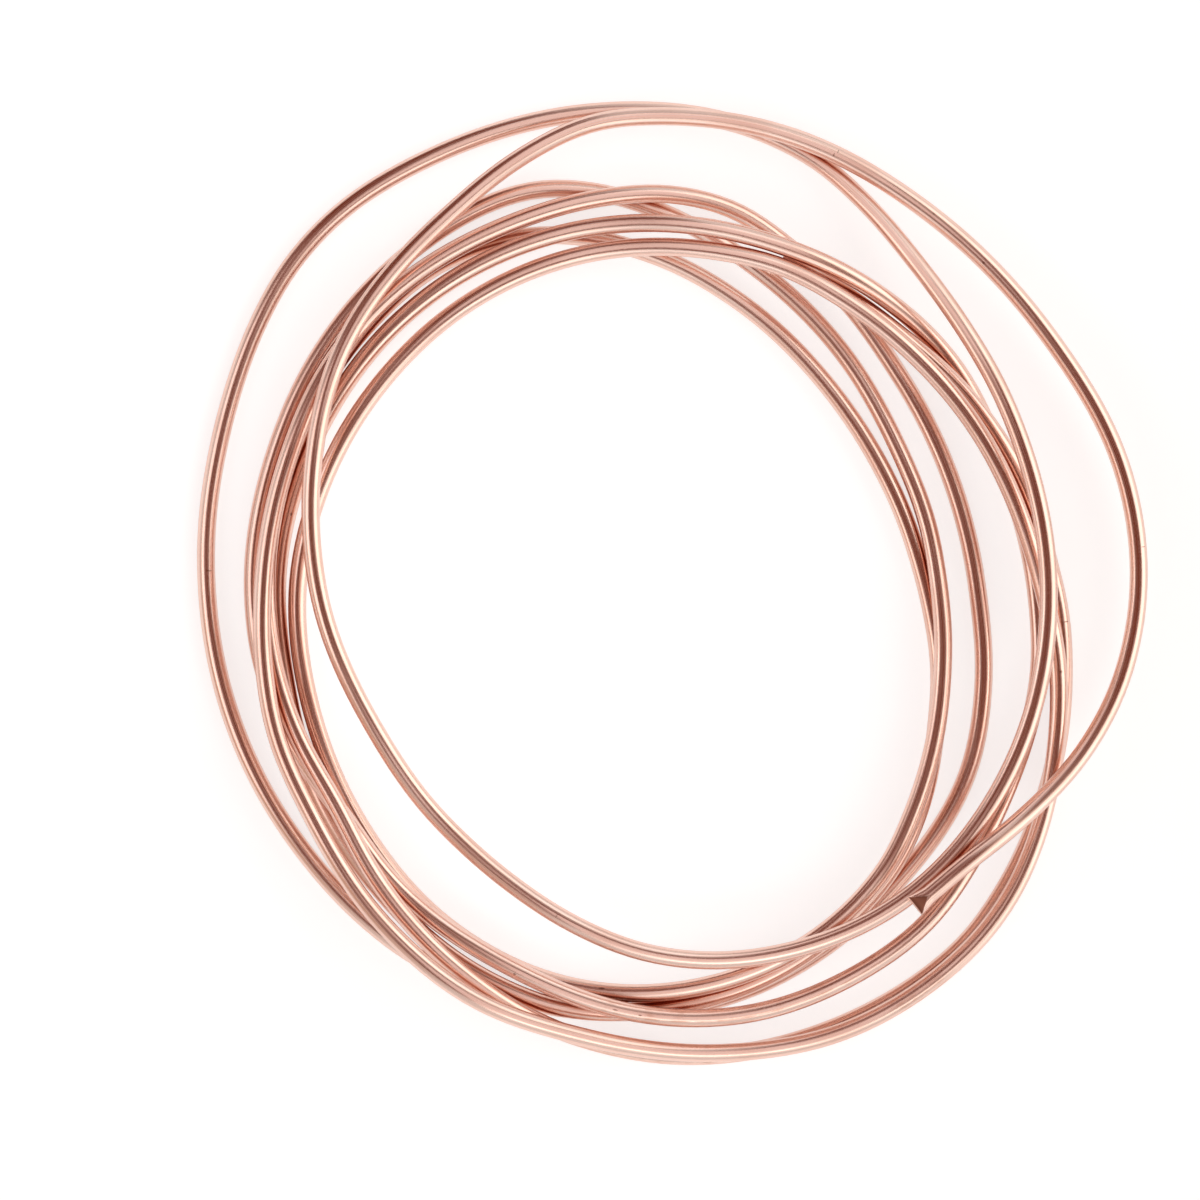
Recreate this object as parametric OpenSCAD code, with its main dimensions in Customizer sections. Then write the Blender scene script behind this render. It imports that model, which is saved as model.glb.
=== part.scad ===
// Loose coil of soft copper tube, lying flat.
// One length of tube runs round a little over seven times. Its turns wander in and out and lie across each
// other, as they do in a coil that was wound by hand and let go.
// The origin is on the floor, under the middle of the coil.

/* [Tube] */
// Outside diameter of the tube
tube_od = 3; // [2:0.1:4]
// Thickness of the tube's wall
tube_wall = 0.5; // [0.3:0.05:0.8]

/* [Coil] */
// Mean radius of the turns
coil_r = 65; // [55:1:90]
// Air left between two turns where one lies on the other
lay_gap = 0.2; // [0.1:0.05:0.6]

/* [Ends] */
// Length over which the pinched end goes from round to flat
pinch_len = 3; // [2:0.5:8]
// Thickness of the tube at the pinched edge
pinch_t = 0.8; // [0.5:0.1:1.5]
// Straight length left at the square end for a fitting
spigot_len = 8; // [5:0.5:12]

/* [Hidden] */
copper = [0.83, 0.52, 0.38];
$fn = 64;

// Each station of a turn is an angle from the X axis in degrees, the distance in or out from the mean
// radius in millimetres, and the layer: 0 on the floor, 1 on one other turn, 2 on two others.
turn_1 = [
    [311, 3.5, 4], [320, 4.6, 3.8], [330, 8.3, 2.7], [340, 12.5, 1.8], [350, 15.5, 1.2], [362, 17, 1],
    [375, 16.6, 1], [392, 14, 1], [412, 13, 1], [432, 13.5, 1], [448, 12.8, 1], [456, 12, 1.2],
    [465, 8.8, 1.5], [478, 3.8, 1.8], [500, -1.8, 2.5], [520, -7.8, 3], [540, -12.2, 3],
    [566, -15.8, 2.5], [590, -14.9, 2], [605, -12.7, 2.3], [618, -9.4, 2.8], [632, -5.3, 3],
    [648, -1.8, 3]
];
turn_2 = [
    [311, 1.7, 3], [335, 2.4, 3], [360, 2, 3], [378, 1.9, 3], [390, 2.5, 2.8], [400, 3.4, 2.3],
    [410, 5.3, 1.6], [420, 8.6, 0.6], [428, 11.4, 0.1], [440, 13.4, 0], [455, 13.9, 0], [475, 14, 0],
    [488, 14.3, 0], [497, 13.4, 0], [505, 11.6, 0], [515, 9.3, 0], [525, 7.7, 0], [545, 5.9, 0],
    [575, 5, 0], [600, 5.6, 0], [625, 4.6, 0], [645, 3, 0]
];
turn_3 = [
    [311, -1, 0], [330, -3.1, 0], [345, -6.5, 0], [360, -9.5, 0], [380, -10.7, 0], [400, -9.6, 0],
    [413, -7, 0], [426, -3.7, 0], [436, -0.7, 0.3], [446, 0.2, 0.9], [454, -0.2, 1], [470, -1.2, 1],
    [492, -1.5, 1.2], [505, -2.2, 1.5], [520, -3.3, 2], [538, -3.2, 2.1], [550, -2.2, 2.3],
    [562, -0.7, 2.5], [575, 0.4, 2.6], [593, 4.2, 2.8], [608, 7.3, 3], [622, 8.7, 2.4], [640, 12.1, 1.2],
    [655, 14.8, 1]
];
turn_4 = [
    [311, 15.1, 1], [320, 14, 1], [328, 11.8, 1], [340, 7.8, 1], [349, 5, 1], [360, 1.2, 1.2],
    [370, -1.2, 1.6], [382, -3.2, 2], [400, -5.7, 2.2], [414, -6.8, 2.4], [426, -7.1, 2.5],
    [438, -8.1, 2.2], [456, -9, 1.3], [480, -10, 1], [500, -10.5, 1], [520, -10, 1], [538, -8.8, 0.6],
    [560, -7.5, 0.2], [580, -4.9, 0], [600, -1.3, 0], [618, 0.9, 0.5], [635, 1, 1.7], [655, -0.8, 2]
];
turn_5 = [
    [311, -4, 2], [320, -7, 1.7], [330, -9.9, 1.3], [342, -12.9, 1], [350, -14.4, 1], [360, -15.8, 0.8],
    [370, -16.4, 0.5], [390, -16.5, 0.2], [410, -13.6, 0], [430, -8.8, 0], [445, -3.4, 0], [455, 0.4, 0],
    [464, 2.9, 0], [472, 3.2, 0], [485, 2.1, 0], [505, 0.3, 0], [520, -0.9, 0], [540, -1.3, 0.1],
    [552, -1.7, 0.5], [562, -2.5, 0.95], [570, -3.4, 1], [578, -3.8, 1], [590, -2.1, 1], [610, 0.2, 1.8],
    [630, 4.5, 2], [645, 6.8, 2], [660, 7.3, 2]
];
turn_6 = [
    [311, 7, 1.9], [322, 5, 1.5], [332, 3.5, 1.1], [341, 2.7, 0.7], [349, 1.9, 0.4], [356, 0.7, 0.1],
    [363, -0.3, 0], [372, -1.4, 0], [380, -1.9, 0], [388, -1.7, 0], [395, -1.5, 0.1], [402, -1.8, 0.5],
    [409, -2.4, 1.2], [417, -3.1, 2], [426, -3.9, 2.5], [438, -4.5, 2.5], [455, -4.9, 1.5],
    [480, -5.4, 1], [495, -5.7, 0.6], [510, -6, 0.1], [524, -5.8, 0], [538, -5.3, 0], [552, -5, 0],
    [562, -3.9, 0], [574, -2.1, 0], [590, 0.4, 0], [600, 2.3, 0.5], [608, 3.6, 0.9], [620, 4.8, 1],
    [635, 3.5, 1], [650, 1.5, 1]
];
turn_7 = [
    [311, -3, 1], [318, -5.2, 0.8], [326, -8, 0.3], [335, -11.3, 0], [345, -14, 0], [357, -17.2, 0],
    [370, -19.4, 0], [390, -20.5, 0], [410, -19.1, 0], [430, -15.1, 0], [448, -9.8, 0], [465, -4.6, 0],
    [480, -2.2, 0], [495, -2.4, 0.1], [510, -3, 0.5], [525, -3.5, 0.7], [538, -3.6, 0.9],
    [550, -3.7, 1.4], [562, -3.9, 1.85], [575, -4, 2], [587, -1, 2], [606, 4.5, 2], [614, 7, 1.7],
    [625, 9.8, 0.6], [636, 12, 0], [650, 13.4, 0]
];
turn_8 = [
    [311, 14, 0], [320, 12.6, 0], [330, 10.4, 0], [340, 8.2, 0], [349, 6, 0], [357, 4.2, 0.2],
    [364, 2.3, 0.5], [372, 1, 0.9], [382, -0.9, 1], [390, -2.5, 1], [397, -3.9, 1], [405, -5.3, 1.1],
    [412, -5.8, 1.2], [419, -6, 1.2]
];
turns = [turn_1, turn_2, turn_3, turn_4, turn_5, turn_6, turn_7, turn_8];

// All the stations one after another, with the angle counted on from turn to turn
stations = [for (k = [0:len(turns) - 1]) for (s = turns[k]) [s[0] + 360 * k, s[1], s[2]]];
last = len(stations) - 1;
first_angle = stations[0][0];
last_angle = stations[last][0];
layer_rise = tube_od + lay_gap;

// Slope of column c between one station and the next
function chord_slope(i, c) = (stations[i + 1][c] - stations[i][c]) / (stations[i + 1][0] - stations[i][0]);

// Slope at a station: the mean of its two neighbours, or none where a layer stops rising or falling
function swing_slope(i) =
    i == 0 ? chord_slope(0, 1) :
    i == last ? chord_slope(last - 1, 1) :
    (stations[i + 1][1] - stations[i - 1][1]) / (stations[i + 1][0] - stations[i - 1][0]);
function layer_slope(i) =
    i == 0 || i == last ? 0 :
    chord_slope(i - 1, 2) * chord_slope(i, 2) <= 0 ? 0 :
    2 * chord_slope(i - 1, 2) * chord_slope(i, 2) / (chord_slope(i - 1, 2) + chord_slope(i, 2));

// Smooth step from value a with slope ma to value b with slope mb, over a span h, at the share t
function blend(a, ma, b, mb, h, t) =
    a * (1 + 2 * t) * (1 - t) * (1 - t) + ma * h * t * (1 - t) * (1 - t)
    + b * t * t * (3 - 2 * t) - mb * h * t * t * (1 - t);

// Station before an angle
function station_before(angle, i = 0) =
    i >= last - 1 || stations[i + 1][0] > angle ? i : station_before(angle, i + 1);

// Point of the tube's centre line at an angle counted on from turn to turn
function route(angle) =
    let (i = station_before(angle),
         a = stations[i],
         b = stations[i + 1],
         h = b[0] - a[0],
         t = (angle - a[0]) / h,
         r = coil_r + blend(a[1], swing_slope(i), b[1], swing_slope(i + 1), h, t),
         z = blend(a[2], layer_slope(i), b[2], layer_slope(i + 1), h, t))
    [r * cos(angle), r * sin(angle), tube_od / 2 + layer_rise * z];

// The tube is drawn as a skin of rings along the route, round all the way to the pinched end, where the
// first ring is flat.
sides = 8;
ring_step = 9;
tube_r = tube_od / 2;
bore_r = tube_r - tube_wall;
pinch_w = PI * (tube_od - tube_wall) / 2;
pinch_angle = pinch_len / (coil_r + stations[0][1]) * 180 / PI;
round_angle = first_angle + pinch_angle;
rings = ceil((last_angle - round_angle) / ring_step);
ring_angles = [for (i = [0:rings]) round_angle + (last_angle - round_angle) * i / rings];
line = [for (a = ring_angles) route(a)];
middle = [
    (min([for (p = line) p[0]]) + max([for (p = line) p[0]])) / 2,
    (min([for (p = line) p[1]]) + max([for (p = line) p[1]])) / 2,
    0
];

function unit(v) = v / norm(v);
function heading(angle) = unit(route(angle + 0.1) - route(angle - 0.1));

// Ring of points round a place on the route, w to each side and t up and down
function ring(place, ahead, w, t) =
    let (side = unit(cross(ahead, [0, 0, 1])), up = cross(side, ahead))
    [for (k = [0:sides - 1])
        let (a = 360 * k / sides - 90)
        place - middle + w * cos(a) * side + t * sin(a) * up];

// Faces between ring i and the next one in a list that starts at point "from"
function skin(from, count) =
    [for (i = [0:count - 1]) for (k = [0:sides - 1])
        let (a = from + i * sides + k, b = from + i * sides + (k + 1) % sides)
        [a, b, b + sides, a + sides]];

function turned(faces) = [for (f = faces) [for (i = [len(f) - 1:-1:0]) f[i]]];

// The skin ends in a neck that sits inside the wall of the straight end, clear of both of its faces
neck_inset = tube_wall / 10;
neck_len = 0.8;
neck_start = 0.2;
spigot_gap = 0.3;
neck_out = tube_r - neck_inset;
neck_in = (bore_r + neck_inset) / cos(180 / sides);
spigot_ahead = heading(last_angle);
function past_end(distance) = route(last_angle) + distance * spigot_ahead;

outer_rings = concat(
    [ring(route(first_angle), heading(first_angle), pinch_w / 2, pinch_t / 2)],
    [for (a = ring_angles) ring(route(a), heading(a), tube_r, tube_r)],
    [for (d = [neck_start, neck_len]) ring(past_end(d), spigot_ahead, neck_out, neck_out)]
);
bore_rings = concat(
    [for (a = ring_angles) ring(route(a), heading(a), bore_r, bore_r)],
    [for (d = [neck_start, neck_len]) ring(past_end(d), spigot_ahead, neck_in, neck_in)]
);

module swept_run() {
    outer_points = [for (r = outer_rings) each r];
    bore_points = [for (r = bore_rings) each r];
    bore_from = len(outer_points);
    outer_end = bore_from - sides;
    bore_end = bore_from + len(bore_points) - sides;
    pinched_edge = [for (k = [sides - 1:-1:0]) k];
    bore_stop = [for (k = [0:sides - 1]) bore_from + k];
    end_face = [for (k = [0:sides - 1])
        let (n = (k + 1) % sides)
        [outer_end + k, outer_end + n, bore_end + n, bore_end + k]];
    faces = concat(
        skin(0, len(outer_rings) - 1),
        turned(skin(bore_from, len(bore_rings) - 1)),
        [pinched_edge, bore_stop],
        end_face
    );
    polyhedron(concat(outer_points, bore_points), faces, convexity = 20);
}

// Straight square-cut end, round enough for a fitting
module spigot() {
    ahead = spigot_ahead;
    translate(past_end(spigot_gap) - middle)
        rotate([0, acos(ahead[2]), atan2(ahead[1], ahead[0])])
            difference() {
                cylinder(h = spigot_len, r = tube_r);
                translate([0, 0, -1])
                    cylinder(h = spigot_len + 2, r = bore_r);
            }
}

module copper_tube() {
    color(copper)
        union() {
            swept_run();
            spigot();
        }
}

copper_tube();
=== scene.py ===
import math

import bmesh
import bpy
import numpy as np
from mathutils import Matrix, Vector
from mathutils.bvhtree import BVHTree


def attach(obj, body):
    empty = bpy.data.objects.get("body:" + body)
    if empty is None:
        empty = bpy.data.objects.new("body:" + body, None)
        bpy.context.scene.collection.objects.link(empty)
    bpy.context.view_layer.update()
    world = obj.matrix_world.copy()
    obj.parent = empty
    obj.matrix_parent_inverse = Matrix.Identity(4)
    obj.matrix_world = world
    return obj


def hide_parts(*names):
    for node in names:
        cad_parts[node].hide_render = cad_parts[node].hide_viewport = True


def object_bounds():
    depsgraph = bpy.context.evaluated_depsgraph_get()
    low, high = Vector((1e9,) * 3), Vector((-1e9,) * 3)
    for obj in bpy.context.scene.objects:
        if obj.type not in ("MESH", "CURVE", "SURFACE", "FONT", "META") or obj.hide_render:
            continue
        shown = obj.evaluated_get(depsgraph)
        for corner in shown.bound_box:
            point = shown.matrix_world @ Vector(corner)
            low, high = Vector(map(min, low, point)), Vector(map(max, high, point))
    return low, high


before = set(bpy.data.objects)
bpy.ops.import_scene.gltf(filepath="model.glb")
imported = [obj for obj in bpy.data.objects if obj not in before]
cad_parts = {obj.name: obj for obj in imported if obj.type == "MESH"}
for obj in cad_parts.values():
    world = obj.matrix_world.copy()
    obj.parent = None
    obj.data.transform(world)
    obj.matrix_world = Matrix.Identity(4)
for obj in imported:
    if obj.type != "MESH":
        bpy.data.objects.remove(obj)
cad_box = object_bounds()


# The copper tube: one length of soft drawn copper tube, 3 mm outside with a 2 mm bore, wound by hand a
# little over seven times and let go, so that each turn wanders and lies across the others. One end was nipped
# off with side cutters, which left a flat wedge, and the other was cut square and left open.
MM = 0.001
TUBE_OD = 3 * MM
TUBE_WALL = 0.5 * MM
COIL_R = 65 * MM
LAY_GAP = 0.2 * MM
LAYER_RISE = TUBE_OD + LAY_GAP
SPIGOT_LEN = 8 * MM

# A station is an angle from the X axis in degrees, a distance in or out from the mean radius in millimetres,
# and a layer: 0 on the floor, 1 on one other turn, and so on.
TURNS = [
    [(311, 3.5, 4), (320, 4.6, 3.8), (330, 8.3, 2.7), (340, 12.5, 1.8), (350, 15.5, 1.2), (362, 17, 1),
     (375, 16.6, 1), (392, 14, 1), (412, 13, 1), (432, 13.5, 1), (448, 12.8, 1), (456, 12, 1.2),
     (465, 8.8, 1.5), (478, 3.8, 1.8), (500, -1.8, 2.5), (520, -7.8, 3), (540, -12.2, 3),
     (566, -15.8, 2.5), (590, -14.9, 2), (605, -12.7, 2.3), (618, -9.4, 2.8), (632, -5.3, 3),
     (648, -1.8, 3)],
    [(311, 1.7, 3), (335, 2.4, 3), (360, 2, 3), (378, 1.9, 3), (390, 2.5, 2.8), (400, 3.4, 2.3),
     (410, 5.3, 1.6), (420, 8.6, 0.6), (428, 11.4, 0.1), (440, 13.4, 0), (455, 13.9, 0), (475, 14, 0),
     (488, 14.3, 0), (497, 13.4, 0), (505, 11.6, 0), (515, 9.3, 0), (525, 7.7, 0), (545, 5.9, 0),
     (575, 5, 0), (600, 5.6, 0), (625, 4.6, 0), (645, 3, 0)],
    [(311, -1, 0), (330, -3.1, 0), (345, -6.5, 0), (360, -9.5, 0), (380, -10.7, 0), (400, -9.6, 0),
     (413, -7, 0), (426, -3.7, 0), (436, -0.7, 0.3), (446, 0.2, 0.9), (454, -0.2, 1), (470, -1.2, 1),
     (492, -1.5, 1.2), (505, -2.2, 1.5), (520, -3.3, 2), (538, -3.2, 2.1), (550, -2.2, 2.3),
     (562, -0.7, 2.5), (575, 0.4, 2.6), (593, 4.2, 2.8), (608, 7.3, 3), (622, 8.7, 2.4), (640, 12.1, 1.2),
     (655, 14.8, 1)],
    [(311, 15.1, 1), (320, 14, 1), (328, 11.8, 1), (340, 7.8, 1), (349, 5, 1), (360, 1.2, 1.2),
     (370, -1.2, 1.6), (382, -3.2, 2), (400, -5.7, 2.2), (414, -6.8, 2.4), (426, -7.1, 2.5),
     (438, -8.1, 2.2), (456, -9, 1.3), (480, -10, 1), (500, -10.5, 1), (520, -10, 1), (538, -8.8, 0.6),
     (560, -7.5, 0.2), (580, -4.9, 0), (600, -1.3, 0), (618, 0.9, 0.5), (635, 1, 1.7), (655, -0.8, 2)],
    [(311, -4, 2), (320, -7, 1.7), (330, -9.9, 1.3), (342, -12.9, 1), (350, -14.4, 1), (360, -15.8, 0.8),
     (370, -16.4, 0.5), (390, -16.5, 0.2), (410, -13.6, 0), (430, -8.8, 0), (445, -3.4, 0), (455, 0.4, 0),
     (464, 2.9, 0), (472, 3.2, 0), (485, 2.1, 0), (505, 0.3, 0), (520, -0.9, 0), (540, -1.3, 0.1),
     (552, -1.7, 0.5), (562, -2.5, 0.95), (570, -3.4, 1), (578, -3.8, 1), (590, -2.1, 1), (610, 0.2, 1.8),
     (630, 4.5, 2), (645, 6.8, 2), (660, 7.3, 2)],
    [(311, 7, 1.9), (322, 5, 1.5), (332, 3.5, 1.1), (341, 2.7, 0.7), (349, 1.9, 0.4), (356, 0.7, 0.1),
     (363, -0.3, 0), (372, -1.4, 0), (380, -1.9, 0), (388, -1.7, 0), (395, -1.5, 0.1), (402, -1.8, 0.5),
     (409, -2.4, 1.2), (417, -3.1, 2), (426, -3.9, 2.5), (438, -4.5, 2.5), (455, -4.9, 1.5),
     (480, -5.4, 1), (495, -5.7, 0.6), (510, -6, 0.1), (524, -5.8, 0), (538, -5.3, 0), (552, -5, 0),
     (562, -3.9, 0), (574, -2.1, 0), (590, 0.4, 0), (600, 2.3, 0.5), (608, 3.6, 0.9), (620, 4.8, 1),
     (635, 3.5, 1), (650, 1.5, 1)],
    [(311, -3, 1), (318, -5.2, 0.8), (326, -8, 0.3), (335, -11.3, 0), (345, -14, 0), (357, -17.2, 0),
     (370, -19.4, 0), (390, -20.5, 0), (410, -19.1, 0), (430, -15.1, 0), (448, -9.8, 0), (465, -4.6, 0),
     (480, -2.2, 0), (495, -2.4, 0.1), (510, -3, 0.5), (525, -3.5, 0.7), (538, -3.6, 0.9),
     (550, -3.7, 1.4), (562, -3.9, 1.85), (575, -4, 2), (587, -1, 2), (606, 4.5, 2), (614, 7, 1.7),
     (625, 9.8, 0.6), (636, 12, 0), (650, 13.4, 0)],
    [(311, 14, 0), (320, 12.6, 0), (330, 10.4, 0), (340, 8.2, 0), (349, 6, 0), (357, 4.2, 0.2),
     (364, 2.3, 0.5), (372, 1, 0.9), (382, -0.9, 1), (390, -2.5, 1), (397, -3.9, 1), (405, -5.3, 1.1),
     (412, -5.8, 1.2), (419, -6, 1.2)],
]
stations = np.array([(a + 360 * k, r, z) for k, turn in enumerate(TURNS) for a, r, z in turn])


def smooth_column(angles, column, level_off):
    """One column of the stations at each angle. A column that levels off never passes its stations."""
    a, v = stations[:, 0], stations[:, column]
    chord = np.diff(v) / np.diff(a)
    slope = np.empty(len(a))
    slope[0], slope[-1] = chord[0], chord[-1]
    slope[1:-1] = (v[2:] - v[:-2]) / (a[2:] - a[:-2])
    if level_off:
        before, after = chord[:-1], chord[1:]
        same_way = before * after > 0
        total = np.where(same_way, before + after, 1)
        slope[1:-1] = np.where(same_way, 2 * before * after / total, 0)
        slope[0] = slope[-1] = 0
    i = np.clip(np.searchsorted(a, angles, side="right") - 1, 0, len(a) - 2)
    h = a[i + 1] - a[i]
    t = (angles - a[i]) / h
    start = v[i] * (1 + 2 * t) * (1 - t) ** 2 + slope[i] * h * t * (1 - t) ** 2
    return start + v[i + 1] * t * t * (3 - 2 * t) - slope[i + 1] * h * t * t * (1 - t)


def along(line):
    """Distance from the first point to each point of a line."""
    return np.concatenate([[0], np.cumsum(np.linalg.norm(np.diff(line, axis=0), axis=1))])


def evenly(line, distances):
    """The line's points at the given distances along it."""
    s = along(line)
    return np.stack([np.interp(distances, s, line[:, c]) for c in range(3)], 1)


def ironed(line, step, reach):
    """The line with each point at a soft mean of its neighbours, so that its bends flow into each other."""
    half = int(3 * reach / step)
    weight = np.exp(-0.5 * (np.arange(-half, half + 1) * step / reach) ** 2)
    weight /= weight.sum()
    before = 2 * line[0] - line[half:0:-1]
    after = 2 * line[-1] - line[-2:-half - 2:-1]
    padded = np.concatenate([before, line, after])
    return np.stack([np.convolve(padded[:, c], weight, "valid") for c in range(3)], 1)


ANGLE_STEP = 0.5
fine_angles = np.arange(stations[0, 0], stations[-1, 0] + ANGLE_STEP / 2, ANGLE_STEP)
fine_angles[-1] = stations[-1, 0]
radius = COIL_R + MM * smooth_column(fine_angles, 1, False)
height = TUBE_OD / 2 + LAYER_RISE * smooth_column(fine_angles, 2, True)
turn_angle = np.radians(fine_angles)
route = np.stack([radius * np.cos(turn_angle), radius * np.sin(turn_angle), height], 1)
route_middle = (route.min(0) + route.max(0)) / 2
route -= [route_middle[0], route_middle[1], 0]
run_at_angle = along(route)
heading = route[-1] - route[-2]
heading /= np.linalg.norm(heading)
route = np.concatenate([route, [route[-1] + heading * SPIGOT_LEN]])

# The line is cut into short even steps, ironed smooth, drawn in by a hair so that the tube stays in the
# solid's box, and cut again with close steps at the pinched end.
IRON_STEP = 0.5 * MM
IRON_REACH = 2.5 * MM
EDGE_ROOM = TUBE_OD / 2 + 0.01 * MM
PINCH_ZONE = 8 * MM
PINCH_STEP = 0.2 * MM
RING_STEP = 2 * MM
drawn_length = along(route)[-1]
route = evenly(route, np.linspace(0, drawn_length, round(drawn_length / IRON_STEP) + 1))
route = ironed(route, IRON_STEP, IRON_REACH)
for axis in (0, 1):
    low, high = cad_box[0][axis] + EDGE_ROOM, cad_box[1][axis] - EDGE_ROOM
    route[:, axis] = np.interp(route[:, axis], [route[:, axis].min(), route[:, axis].max()], [low, high])
tube_length = along(route)[-1]
run_at_angle *= tube_length / drawn_length
pinch_rings = np.arange(0, PINCH_ZONE - PINCH_STEP / 2, PINCH_STEP)
ring_count = round((tube_length - PINCH_ZONE) / RING_STEP)
spine = evenly(route, np.concatenate([pinch_rings, np.linspace(PINCH_ZONE, tube_length, ring_count + 1)]))


class Wire:
    """An output socket of a node tree. Arithmetic on wires adds Math nodes, and node() adds any other."""

    def __init__(self, tree, socket=None):
        self.tree = tree
        self.socket = socket

    def node(self, kind, settings, sockets, out=0):
        made = self.tree.nodes.new(kind)
        for name, value in settings.items():
            setattr(made, name, value)
        for name, value in sockets.items():
            if isinstance(value, Wire):
                self.tree.links.new(value.socket, made.inputs[name])
            else:
                made.inputs[name].default_value = value
        if not made.outputs:
            return made
        return Wire(self.tree, made.outputs[out])

    def math(self, operation, *values):
        return self.node("ShaderNodeMath", {"operation": operation}, dict(enumerate(values)))

    def vector_math(self, operation, *values, out="Vector"):
        return self.node("ShaderNodeVectorMath", {"operation": operation}, dict(enumerate(values)), out)

    def __add__(self, other):
        return self.math("ADD", self, other)

    def __radd__(self, other):
        return self.math("ADD", other, self)

    def __sub__(self, other):
        return self.math("SUBTRACT", self, other)

    def __rsub__(self, other):
        return self.math("SUBTRACT", other, self)

    def __mul__(self, other):
        return self.math("MULTIPLY", self, other)

    def __rmul__(self, other):
        return self.math("MULTIPLY", other, self)

    def __truediv__(self, other):
        return self.math("DIVIDE", self, other)

    def least(self, other):
        return self.math("MINIMUM", self, other)

    def most(self, other):
        return self.math("MAXIMUM", self, other)

    def step(self, low, high, to_low=0.0, to_high=1.0):
        """Goes softly from one value to the other as this goes from low to high."""
        sockets = {"Value": self, "From Min": low, "From Max": high, "To Min": to_low, "To Max": to_high}
        return self.node("ShaderNodeMapRange", {"interpolation_type": "SMOOTHSTEP"}, sockets)

    def blend(self, under, over):
        """The colour under where this is 0 and the colour over where it is 1."""
        sockets = {"Factor": self, 6: under, 7: over}
        return self.node("ShaderNodeMix", {"data_type": "RGBA"}, sockets, out=2)

    def parts(self):
        """The X, Y and Z of a vector."""
        split = self.node("ShaderNodeSeparateXYZ", {}, {"Vector": self}).socket.node
        return [Wire(self.tree, socket) for socket in split.outputs]


# The tree sweeps the tube and its bore along the line. The bore starts behind the pinched end.
SIDES = 24
PINCH_LEN = 3 * MM
PINCH_T = 0.8 * MM
PINCH_W = math.pi * (TUBE_OD - TUBE_WALL) / 2
PAST_THE_END = 9.0

tube_tree = bpy.data.node_groups.new("sweep_tube", "GeometryNodeTree")
for direction in ("INPUT", "OUTPUT"):
    tube_tree.interface.new_socket("Geometry", in_out=direction, socket_type="NodeSocketGeometry")
tube_sizes = {}
for size_name, kind, value in (
    ("Outside radius", "NodeSocketFloat", TUBE_OD / 2),
    ("Bore radius", "NodeSocketFloat", TUBE_OD / 2 - TUBE_WALL),
    ("Sides", "NodeSocketInt", SIDES),
    ("Pinch length", "NodeSocketFloat", PINCH_LEN),
    ("Pinch thickness", "NodeSocketFloat", PINCH_T),
    ("Pinch width", "NodeSocketFloat", PINCH_W),
):
    size_socket = tube_tree.interface.new_socket(size_name, in_out="INPUT", socket_type=kind)
    tube_sizes[size_socket.identifier] = value
copper_socket = tube_tree.interface.new_socket("Copper", in_out="INPUT", socket_type="NodeSocketMaterial")

wire = Wire(tube_tree)
tree_inputs = tube_tree.nodes.new("NodeGroupInput")


def given(name):
    """An input of the tree."""
    return Wire(tube_tree, tree_inputs.outputs[name])


def keep(geometry, name, data_type, value):
    """Stores a value on each point under a name, for the material and the pinch to read."""
    settings = {"data_type": data_type, "domain": "POINT"}
    sockets = {"Geometry": geometry, "Name": name, "Value": value}
    return wire.node("GeometryNodeStoreNamedAttribute", settings, sockets)


def kept(name, data_type):
    """A value that was stored under a name."""
    return wire.node("GeometryNodeInputNamedAttribute", {"data_type": data_type}, {"Name": name})


def sweep(line, ring_radius):
    """A tube without ends along the line, with the section's own coordinates kept on it."""
    sockets = {"Resolution": given("Sides"), "Radius": ring_radius}
    ring = wire.node("GeometryNodeCurvePrimitiveCircle", {"mode": "RADIUS"}, sockets)
    ring = keep(ring, "section", "FLOAT_VECTOR", wire.node("GeometryNodeInputPosition", {}, {}))
    return wire.node("GeometryNodeCurveToMesh", {}, {"Curve": line, "Profile Curve": ring})


def jaw_height(from_end, tube_r, lip_half):
    """How far from the spine the jaws stood: half the lip at the end, and the radius where they let go."""
    pressed = (tube_r * tube_r - lip_half * lip_half) * (1 - from_end) * (1 - from_end)
    return from_end.math("SQRT", tube_r * tube_r - pressed)


line = wire.node("GeometryNodeSetCurveNormal", {"mode": "Z_UP"}, {"Curve": given("Geometry")})
line = keep(line, "along", "FLOAT", wire.node("GeometryNodeSplineParameter", {}, {}, out="Length"))
line = keep(line, "spine", "FLOAT_VECTOR", wire.node("GeometryNodeInputPosition", {}, {}))
bore_sockets = {"Curve": line, 4: given("Pinch length"), 5: PAST_THE_END}
bore_line = wire.node("GeometryNodeTrimCurve", {"mode": "LENGTH"}, bore_sockets)
outside = sweep(line, given("Outside radius"))
bore = wire.node("GeometryNodeFlipFaces", {}, {"Mesh": sweep(bore_line, given("Bore radius"))})

# The cutters' two jaws leave a wedge: near the end no point stands higher over the spine or hangs lower
# under it than the jaws allow, so that the flat narrows to a point, and the metal they push aside widens the
# tube.
middle = kept("spine", "FLOAT_VECTOR")
offset = wire.vector_math("SUBTRACT", wire.node("GeometryNodeInputPosition", {}, {}), middle)
offset_x, offset_y, offset_z = offset.parts()
from_end = (kept("along", "FLOAT") / given("Pinch length")).least(1.0)
jaw = jaw_height(from_end, given("Outside radius"), given("Pinch thickness") / 2)
spread = given("Pinch width") / 2 / given("Outside radius") * (1 - from_end) + from_end
squashed = wire.node("ShaderNodeCombineXYZ", {}, {
    "X": offset_x * spread, "Y": offset_y * spread, "Z": offset_z.least(jaw).most(0 - jaw)})
outside = wire.node("GeometryNodeSetPosition", {}, {
    "Geometry": outside, "Position": wire.vector_math("ADD", middle, squashed)})

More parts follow.
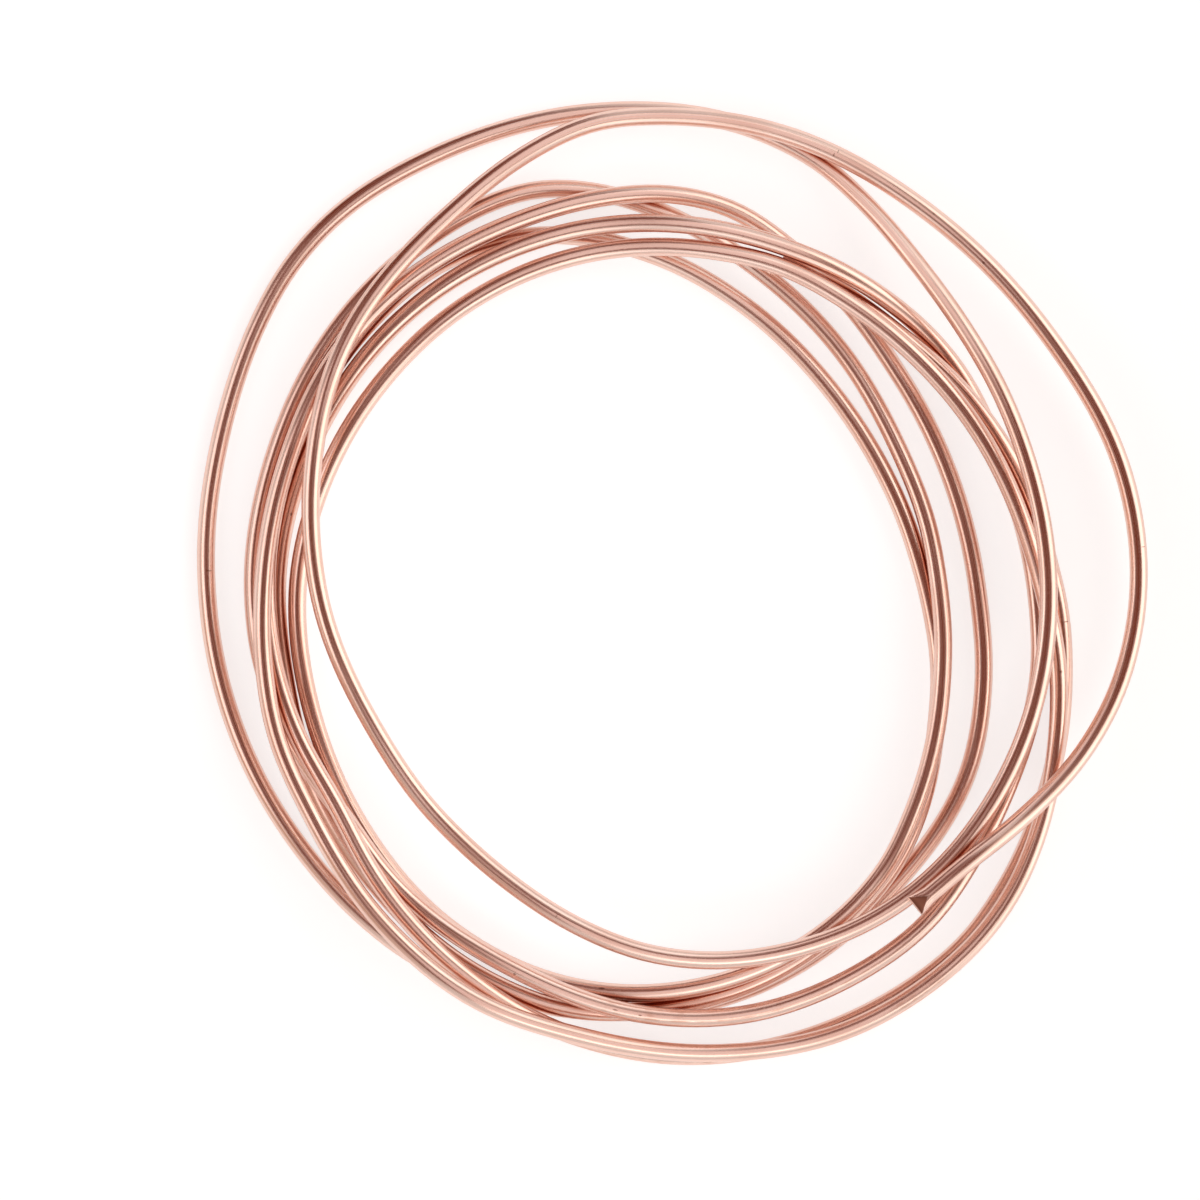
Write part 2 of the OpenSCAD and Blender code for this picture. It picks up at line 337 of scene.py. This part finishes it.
both = wire.node("GeometryNodeJoinGeometry", {}, {})
for wall in (outside, bore):
    tube_tree.links.new(wall.socket, both.socket.node.inputs["Geometry"])
whole = wire.node("GeometryNodeSetShadeSmooth", {}, {"Geometry": both})
whole = wire.node("GeometryNodeRealizeInstances", {}, {"Geometry": whole})
whole = wire.node("GeometryNodeSetMaterial", {}, {"Geometry": whole, "Material": given("Copper")})
wire.node("NodeGroupOutput", {}, {"Geometry": whole})

scene = bpy.context.scene
copper = bpy.data.materials.new("drawn_copper")
line_data = bpy.data.curves.new("tube_line", "CURVE")
line_data.dimensions = "3D"
spline = line_data.splines.new("POLY")
spline.points.add(len(spine) - 1)
spline.points.foreach_set("co", np.column_stack([spine, np.ones(len(spine))]).ravel())
line_object = bpy.data.objects.new("tube_line", line_data)
scene.collection.objects.link(line_object)
maker = line_object.modifiers.new("sweep_tube", "NODES")
maker.node_group = tube_tree
for identifier, value in tube_sizes.items():
    maker[identifier] = value
maker[copper_socket.identifier] = copper
bpy.context.view_layer.update()
swept = line_object.evaluated_get(bpy.context.evaluated_depsgraph_get())
tube_mesh = bpy.data.meshes.new_from_object(swept)
tube_mesh.name = "copper_tube_body"
bpy.data.objects.remove(line_object)

# The open rims are closed: a flat ring joins the wall at the square end, and the pinched end and the blind
# end of the bore are filled.
SQUARE_LIP = 0.06 * MM
LIP_SEGMENTS = 2
LIP_PROFILE = 0.5
SHARP_ANGLE = 35
body = bmesh.new()
body.from_mesh(tube_mesh)
square_end = Vector(spine[-1])
rims = [e for e in body.edges if e.is_boundary]
square_rims = [e for e in rims if (e.verts[0].co - square_end).length < TUBE_OD]
bmesh.ops.bridge_loops(body, edges=square_rims)
bmesh.ops.holes_fill(body, edges=[e for e in body.edges if e.is_boundary], sides=0)
lip_edges = [e for e in square_rims if e.is_valid]
bmesh.ops.bevel(
    body, geom=lip_edges, offset=SQUARE_LIP, segments=LIP_SEGMENTS, profile=LIP_PROFILE, affect="EDGES")
bmesh.ops.recalc_face_normals(body, faces=body.faces)
body.to_mesh(tube_mesh)
body.free()
tube_mesh.set_sharp_from_angle(angle=math.radians(SHARP_ANGLE))

# Where turns lie close, their facing sides see only each other, and they get painted shade: deep red-brown in
# the colour. Each point keeps the share of its outlook, straight out and slantwise all round, that another
# turn closes off close by.
OUTLOOK = 5 * MM
OUTLOOK_LIFT = 0.05 * MM
SLANT_WAYS = 8
SLANT_OUT = 0.6
SLANT_ASIDE = 0.8
corners = [point.co for point in tube_mesh.vertices]
tube_faces = BVHTree.FromPolygons(corners, [face.vertices for face in tube_mesh.polygons])
painted_gap_shade = []
for point in tube_mesh.vertices:
    facing = point.normal
    across = facing.orthogonal().normalized()
    up = facing.cross(across)
    ways = [facing]
    for k in range(SLANT_WAYS):
        spin = math.radians(360 * k / SLANT_WAYS)
        aside = across * math.cos(spin) + up * math.sin(spin)
        ways.append((facing * SLANT_OUT + aside * SLANT_ASIDE).normalized())
    closed = 0
    for way in ways:
        distance = tube_faces.ray_cast(point.co + facing * OUTLOOK_LIFT, way, OUTLOOK)[3]
        if distance is not None:
            closed += 1 - distance / OUTLOOK
    painted_gap_shade.append(closed / len(ways))
tube_mesh.attributes.new("painted_gap_shade", "FLOAT", "POINT").data.foreach_set("value", painted_gap_shade)

tube = bpy.data.objects.new("copper_tube_body", tube_mesh)
scene.collection.objects.link(tube)
tube_mesh.materials.clear()
tube_mesh.materials.append(copper)

# The finish is bright drawn copper: a satin rose metal with faint lines along the tube from the die, browner
# in patches where it was handled, and painted deep red-brown shade where turns lie close.
ROSE = (0.92, 0.655, 0.56, 1)
HANDLED = (0.84, 0.54, 0.44, 1)
HANDLED_SHARE = 0.55
CLOSE_SHADE_BROWN = (0.60, 0.22, 0.125, 1)
CLOSE_SHADE_RANGE = (0.18, 0.66)
DIE_STRETCH = 0.012
DIE_SCALE = 9000
PATCH_SCALE = 70
PATCH_RANGE = (0.42, 0.72)
GRAIN_SCALE = 2600
copper.use_nodes = True
copper.node_tree.nodes.clear()
finish = Wire(copper.node_tree)


def own(name, out):
    """A value kept on the tube's points, as its Vector or its Fac."""
    return finish.node("ShaderNodeAttribute", {"attribute_name": name}, {}, out)


def noise(vector, scale, detail=2.0):
    """A cloudy pattern, mostly near a half."""
    return finish.node("ShaderNodeTexNoise", {}, {"Vector": vector, "Scale": scale, "Detail": detail})


run = own("along", "Fac")
section = own("section", "Vector")
gap_shade_share = own("painted_gap_shade", "Fac")
place = finish.node("ShaderNodeTexCoord", {}, {}, out="Object")
lengthwise = finish.node("ShaderNodeCombineXYZ", {}, {"X": run * DIE_STRETCH})
die_place = finish.vector_math("ADD", section, lengthwise)
die_lines = noise(die_place, DIE_SCALE, detail=1.0)
patches = noise(place, PATCH_SCALE).step(*PATCH_RANGE)
grain = noise(place, GRAIN_SCALE)
colour = (patches * HANDLED_SHARE).blend(ROSE, HANDLED)
# Painted shade: deep red-brown where another turn closes off much of the outlook.
colour = gap_shade_share.step(*CLOSE_SHADE_RANGE).blend(colour, CLOSE_SHADE_BROWN)

# The two cut faces of the nipped end are dull, and painted dark brown as painted shade. They lie where the
# section stood higher than the jaws.
NIPPED_SHADE_BROWN = (0.21, 0.08, 0.052, 1)
FACE_EDGE = 0.03 * MM
FACE_STOP = 0.1 * MM
LIP_START = 0.06 * MM
LIP_STOP = 0.16 * MM
section_height = section.parts()[1]
jaw = jaw_height((run / PINCH_LEN).least(1.0), TUBE_OD / 2, PINCH_T / 2)
pressed = finish.math("ABSOLUTE", section_height) - jaw
nipped = pressed.step(-FACE_EDGE, FACE_EDGE) * run.step(PINCH_LEN, PINCH_LEN - FACE_STOP)
nipped = nipped * run.step(LIP_START, LIP_STOP)
# Painted shade: the two cut faces dark brown.
colour = nipped.blend(colour, NIPPED_SHADE_BROWN)

# Handling left dark specks and ticks across the tube, a few bright nicks, and streaks of brown tarnish. The
# bright nicks are painted pale partly for their fresh copper and partly as painted glints. A mark has a turn,
# a station, a place across from -1 inside to 1 outside, and half its length and width in millimetres. A
# tarnished stretch has a turn and two stations.
DARK_MARKS = [
    (1, 426, -0.15, 0.14, 0.4), (1, 425.7, 0.4, 0.1, 0.4), (1, 403.6, -0.24, 0.35, 0.25),
    (1, 412, 0.2, 0.2, 0.2), (2, 537.5, -0.33, 0.14, 0.6), (1, 615.8, 0.1, 0.1, 0.4),
    (5, 612, 0.45, 0.3, 0.22), (4, 624.8, -0.33, 0.7, 0.2), (5, 626.6, 0.1, 0.5, 0.14),
    (5, 630, 0.15, 0.35, 0.16), (8, 355.6, 0.5, 0.14, 0.6), (4, 349, 0.3, 0.25, 0.25),
    (1, 364.9, 0.6, 0.1, 0.5), (6, 527.6, -0.4, 0.35, 0.22)]
BRIGHT_MARKS = [(3, 513, 0.0, 0.9, 0.16), (3, 518, -0.2, 0.6, 0.14), (7, 316, 0.0, 1.1, 0.4)]
TARNISHED = [(7, 622, 645), (5, 625, 668), (6, 313, 322), (3, 661, 668)]
MARK_BROWN = (0.26, 0.10, 0.065, 1)
FRESH_COPPER_AND_GLINT = (0.98, 0.78, 0.66, 1)
TARNISH_BROWN = (0.60, 0.29, 0.19, 1)
MARK_SHARE = 0.7
FRESH_AND_GLINT_SHARE = 0.6
TARNISH_SHARE = 0.6
TARNISH_FADE = 2 * MM
STREAK_SCALE = 2200
STREAK_SHARE = 0.6
STREAK_RANGE = (0.5, 0.62)
BLOTCH_SCALE = 420


def reach(turn, station):
    """Distance along the tube from the pinched end to a station of a turn."""
    return float(np.interp(station + 360 * (turn - 1), fine_angles, run_at_angle))


def marks(spots):
    """1 on each mark out to half its size, and 0 past its size."""
    mask = 0.0
    for turn, station, across, half_length, half_width in spots:
        top = (across * TUBE_OD / 2, -math.sqrt(1 - across ** 2) * TUBE_OD / 2, 0)
        sideways = finish.vector_math("DISTANCE", section, top, out="Value") / (half_width * MM)
        lengthways = (run - reach(turn, station)) / (half_length * MM)
        mask = (sideways * sideways + lengthways * lengthways).step(1.0, 0.25) + mask
    return mask.least(1.0)


def stretch(turn, start, stop):
    """1 along a stretch of a turn between two stations, with soft ends."""
    first, last = reach(turn, start), reach(turn, stop)
    starts = run.step(first - TARNISH_FADE, first + TARNISH_FADE)
    return starts * run.step(last + TARNISH_FADE, last - TARNISH_FADE)


dark_marks = marks(DARK_MARKS)
bright_marks = marks(BRIGHT_MARKS)
streaks = noise(die_place, STREAK_SCALE, detail=3.0) * STREAK_SHARE
streaks = streaks + noise(place, BLOTCH_SCALE, detail=3.0) * (1 - STREAK_SHARE)
tarnish = 0.0
for tarnished in TARNISHED:
    tarnish = stretch(*tarnished) + tarnish
tarnish = tarnish.least(1.0) * streaks.step(*STREAK_RANGE)
colour = (tarnish * TARNISH_SHARE).blend(colour, TARNISH_BROWN)
colour = (dark_marks * MARK_SHARE).blend(colour, MARK_BROWN)
# Painted highlight in part: the bright nicks paler, for their fresh copper and for the glints they catch.
colour = (bright_marks * FRESH_AND_GLINT_SHARE).blend(colour, FRESH_COPPER_AND_GLINT)

DIE_RANGE = (0.3, 0.7)
DIE_ROUGH = (0.21, 0.28)
ADDED_ROUGH = ((patches, 0.03), (grain, 0.02), (nipped, 0.12), (tarnish, 0.06))
BUMP_STRENGTH = 0.12
BUMP_DEPTH = 0.02 * MM
rough = die_lines.step(*DIE_RANGE, *DIE_ROUGH)
for cause, added in ADDED_ROUGH:
    rough = rough + cause * added
relief = die_lines - dark_marks - bright_marks
bump_sockets = {"Strength": BUMP_STRENGTH, "Distance": BUMP_DEPTH, "Height": relief}
bumps = finish.node("ShaderNodeBump", {}, bump_sockets)
shine = finish.node("ShaderNodeBsdfPrincipled", {}, {
    "Base Color": colour, "Metallic": 1.0, "Roughness": rough, "Normal": bumps})
finish.node("ShaderNodeOutputMaterial", {"target": "ALL"}, {"Surface": shine})

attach(tube, "root")
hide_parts("copper_tube")


# The floor, the light and the camera: a plain white floor in a white room that is brighter at the right,
# warmer at the left, and dark overhead and at the far left. Soft lamps hang over the far and near arcs and at
# the left, and the camera looks straight down.
FLOOR_HALF = 4.0
FLOOR_PAINT = (0.85, 0.85, 0.85, 1)
FLOOR_GLOW = 1.75
SEEN_GLOW_SHARE = 0.38
MIRRORED_GLOW_SHARE = 0.3
WHITE = (1, 1, 1, 1)

floor_mesh = bpy.data.meshes.new("floor")
floor_corners = [(x * FLOOR_HALF, y * FLOOR_HALF, 0) for x, y in ((-1, -1), (1, -1), (1, 1), (-1, 1))]
floor_mesh.from_pydata(floor_corners, [], [(0, 1, 2, 3)])
floor = bpy.data.objects.new("floor", floor_mesh)
scene.collection.objects.link(floor)
white_floor = bpy.data.materials.new("white_floor")
white_floor.use_nodes = True
white_floor.node_tree.nodes.clear()
ground = Wire(white_floor.node_tree)
seen = ground.node("ShaderNodeLightPath", {}, {}, out="Is Camera Ray")
mirrored = ground.node("ShaderNodeLightPath", {}, {}, out="Is Glossy Ray")
paint = ground.node("ShaderNodeBsdfDiffuse", {}, {"Color": FLOOR_PAINT})
glow = ground.node("ShaderNodeEmission", {}, {"Color": WHITE, "Strength": FLOOR_GLOW})
glow_share = seen * SEEN_GLOW_SHARE + mirrored * MIRRORED_GLOW_SHARE
mixed = ground.node("ShaderNodeMixShader", {}, {"Fac": glow_share, 1: paint, 2: glow})
ground.node("ShaderNodeOutputMaterial", {"target": "ALL"}, {"Surface": mixed})
floor_mesh.materials.append(white_floor)

# A zone of the room has a tilt from straight up, an azimuth, and the radii where it is full and where it
# ends, all in degrees.
ROOM_WHITE = (0.74, 0.74, 0.74, 1)
ROOM_BRIGHT = (1.78, 1.72, 1.62, 1)
ROOM_WARM = (0.56, 0.37, 0.28, 1)
ROOM_DARK = (0.165, 0.040, 0.020, 1)
ZONES = [
    (ROOM_BRIGHT, [(66, 6, 12, 36), (30, 300, 8, 30), (80, 335, 8, 28), (58, 34, 10, 30)]),
    (ROOM_WARM, [(66, 203, 12, 30)]),
    (ROOM_DARK, [(11, 0, 23, 38), (24, 210, 12, 28), (26, 150, 14, 30), (48, 132, 20, 40),
                 (78, 124, 16, 34)]),
]
world = bpy.data.worlds.new("white_room")
scene.world = world
world.use_nodes = True
world.node_tree.nodes.clear()
room = Wire(world.node_tree)
toward = room.node("ShaderNodeTexCoord", {}, {}, out="Generated")


def zone(tilt, azimuth, inner, outer):
    """1 near a direction in the room, falling softly to 0."""
    t, a = math.radians(tilt), math.radians(azimuth)
    middle_way = (math.sin(t) * math.cos(a), math.sin(t) * math.sin(a), math.cos(t))
    nearness = room.vector_math("DOT_PRODUCT", toward, middle_way, out="Value")
    return nearness.step(math.cos(math.radians(outer)), math.cos(math.radians(inner)))


room_colour = ROOM_WHITE
for zone_colour, places in ZONES:
    for zone_place in places:
        room_colour = zone(*zone_place).blend(room_colour, zone_colour)
room_seen = room.node("ShaderNodeLightPath", {}, {}, out="Is Camera Ray")
room_colour = room_seen.blend(room_colour, WHITE)
backdrop = room.node("ShaderNodeBackground", {}, {"Color": room_colour, "Strength": 1.0})
room.node("ShaderNodeOutputWorld", {"target": "ALL"}, {"Surface": backdrop})

ARC_LAMP_OUT = 98 * MM
ARC_LAMP_UP = 100 * MM
ARC_LAMP_SIZE = (110 * MM, 120 * MM)
ARC_LAMP_POWER = 0.030
LEFT_LAMP_PLACE = (-190 * MM, 0, 140 * MM)
LEFT_LAMP_AIM = (-60 * MM, 0, 0)
LEFT_LAMP_SIZE = (220 * MM, 100 * MM)
LEFT_LAMP_POWER = 0.085


def soft_light(name, spot, aim, size, power):
    """A flat soft light, so wide and so long, that faces a point."""
    data = bpy.data.lights.new(name, "AREA")
    data.shape = "RECTANGLE"
    data.size, data.size_y = size
    data.energy = power
    lamp = bpy.data.objects.new(name, data)
    lamp.location = spot
    lamp.visible_camera = False
    lamp.rotation_euler = (Vector(aim) - Vector(spot)).to_track_quat("-Z", "Y").to_euler()
    scene.collection.objects.link(lamp)


for light_name, out in (("far_light", ARC_LAMP_OUT), ("near_light", -ARC_LAMP_OUT)):
    soft_light(light_name, (0, out, ARC_LAMP_UP), (0, out, 0), ARC_LAMP_SIZE, ARC_LAMP_POWER)
soft_light("left_light", LEFT_LAMP_PLACE, LEFT_LAMP_AIM, LEFT_LAMP_SIZE, LEFT_LAMP_POWER)

PHOTO_SIDE = 1200
PHOTO_SCALE = 6.1
COIL_PIXEL = (640, 590)
CAMERA_UP = 3.0
MID_HEIGHT = 6 * MM
SENSOR = 36
CLIP_END = 20
camera_data = bpy.data.cameras.new("camera")
camera = bpy.data.objects.new("camera", camera_data)
scene.collection.objects.link(camera)
pixel = MM / PHOTO_SCALE
aim_x = -route_middle[0] + (PHOTO_SIDE / 2 - COIL_PIXEL[0]) * pixel
aim_y = -route_middle[1] - (PHOTO_SIDE / 2 - COIL_PIXEL[1]) * pixel
camera.location = (aim_x, aim_y, CAMERA_UP + MID_HEIGHT)
camera_data.sensor_width = SENSOR
camera_data.lens = SENSOR * CAMERA_UP / (PHOTO_SIDE * pixel)
camera_data.clip_end = CLIP_END
scene.camera = camera
scene.view_settings.view_transform = "Standard"
